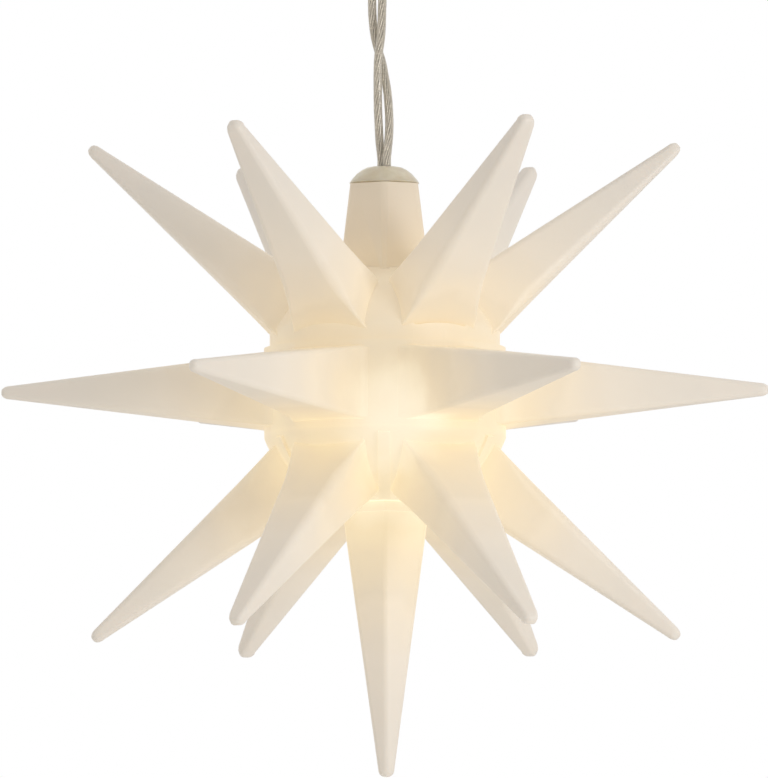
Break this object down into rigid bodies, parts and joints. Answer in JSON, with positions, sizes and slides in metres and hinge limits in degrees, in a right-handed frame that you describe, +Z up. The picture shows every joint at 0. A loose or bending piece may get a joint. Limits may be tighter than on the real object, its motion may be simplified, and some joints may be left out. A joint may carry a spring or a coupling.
{
  "type": "led christmas star pendant",
  "caption": "Hanging spiked star of milky translucent plastic, lit from inside by a warm LED, on twisted clear wires under a small battery case with a hanging eye.",
  "frame": {"origin": "middle of the round hole in the hanging eye on top of the battery case", "axes": "+Z up, +Y to the back along the hole of the eye, front faces -Y, one pair of spikes points along X"},
  "size_m": [0.12, 0.1044, 0.2087],
  "materials": {
    "star_plastic": "satin, milky translucent polypropylene, lit from inside",
    "plug_pvc": "soft translucent yellowish PVC",
    "wire_pvc": "clear PVC over tinned copper strands",
    "sleeve": "clear heat shrink sleeve",
    "led_epoxy": "clear epoxy",
    "led_metal": "tinned steel",
    "led_phosphor": "warm phosphor",
    "case_plastic": "fine satin ABS",
    "cell_jacket": "plain printed film sleeve",
    "contact_metal": "nickel plated spring steel",
    "board": "solder mask over glass fibre board",
    "chip_black": "moulded epoxy",
    "crystal_can": "drawn metal can",
    "resistor_body": "lacquer",
    "switch_frame": "plated steel frame",
    "knob_black": "moulded nylon",
    "relief_pvc": "soft clear PVC"
  },
  "bodies": {
    "battery_box": {"battery_case": "case_plastic", "hanging_loop": "case_plastic", "switch_panel": "case_plastic", "cell_1": "cell_jacket", "cell_2": "cell_jacket", "bridge_contact": "contact_metal", "bridge_spring": "contact_metal", "positive_contact": "contact_metal", "negative_contact": "contact_metal", "negative_spring": "contact_metal", "timer_board": "board", "timer_chip": "chip_black", "timer_crystal": "crystal_can", "resistor": "resistor_body", "switch_body": "switch_frame", "strain_relief": "relief_pvc", "box_wire_a": "wire_pvc", "box_wire_b": "wire_pvc"},
    "cover": {"battery_cover": "case_plastic"},
    "knob": {"switch_knob": "knob_black"},
    "lamp": {"neck_plug": "plug_pvc", "led_wire_a": "wire_pvc", "led_wire_b": "wire_pvc", "heat_shrink": "sleeve", "led_lens": "led_epoxy", "led_anode": "led_metal", "led_cathode": "led_metal", "led_chip": "led_phosphor", "hanging_wire_a": "wire_pvc", "hanging_wire_b": "wire_pvc"},
    "star": {"upper_shell": "star_plastic", "middle_ring": "star_plastic", "lower_shell": "star_plastic", "upper_spike_1": "star_plastic", "upper_spike_2": "star_plastic", "upper_spike_3": "star_plastic", "upper_spike_4": "star_plastic", "upper_spike_5": "star_plastic", "upper_spike_6": "star_plastic", "level_spike_1": "star_plastic", "level_spike_2": "star_plastic", "level_spike_3": "star_plastic", "level_spike_4": "star_plastic", "level_spike_5": "star_plastic", "level_spike_6": "star_plastic", "lower_spike_1": "star_plastic", "lower_spike_2": "star_plastic", "lower_spike_3": "star_plastic", "lower_spike_4": "star_plastic", "lower_spike_5": "star_plastic", "lower_spike_6": "star_plastic", "bottom_spike": "star_plastic"}
  },
  "joints": [
    {"name": "wire_swing", "type": "hinge", "parent": "battery_box", "child": "lamp", "pos_m": [0, 0, -0.07085], "axis": [1, 0, 0], "range_deg": [-25, 25]},
    {"name": "star_turn", "type": "hinge", "parent": "lamp", "child": "star", "pos_m": [0, 0, -0.11075], "axis": [0, 0, 1], "continuous": true},
    {"name": "cover_slide", "type": "slide", "parent": "battery_box", "child": "cover", "axis": [0, 0, 1], "range_m": [0, 0.05]},
    {"name": "switch_slide", "type": "slide", "parent": "battery_box", "child": "knob", "axis": [1, 0, 0], "range_m": [-0.002, 0.002]}
  ]
}
